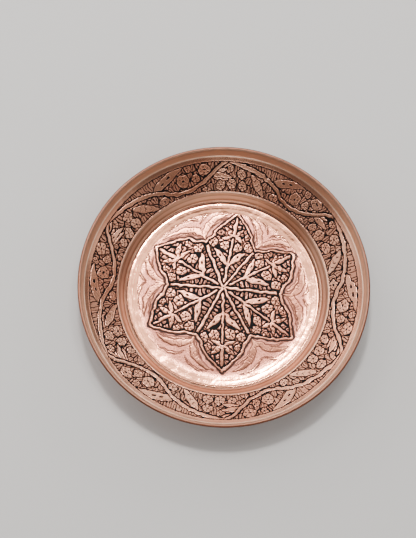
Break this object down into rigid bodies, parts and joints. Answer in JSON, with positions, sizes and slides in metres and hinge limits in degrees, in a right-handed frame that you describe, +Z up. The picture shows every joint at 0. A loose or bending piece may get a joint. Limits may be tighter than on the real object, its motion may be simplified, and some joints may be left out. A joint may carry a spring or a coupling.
{
  "type": "engraved copper tray",
  "caption": "Round raised copper tray with a sloping engraved border, a flat well and an upturned rim whose edge is rolled over a wire.",
  "frame": {"origin": "centre of the flat underside, where the tray stands", "axes": "+Z up out of the tray along its axis of symmetry; +X and +Y lie in the floor, with +Y away from the viewer"},
  "size_m": [0.254, 0.254, 0.0337],
  "materials": {
    "copper_sheet": "polished copper, engraved and blackened in the lines",
    "steel_wire": "drawn wire, plain"
  },
  "bodies": {
    "root": {"tray_body": "copper_sheet", "rim_wire": "steel_wire"}
  },
  "joints": []
}
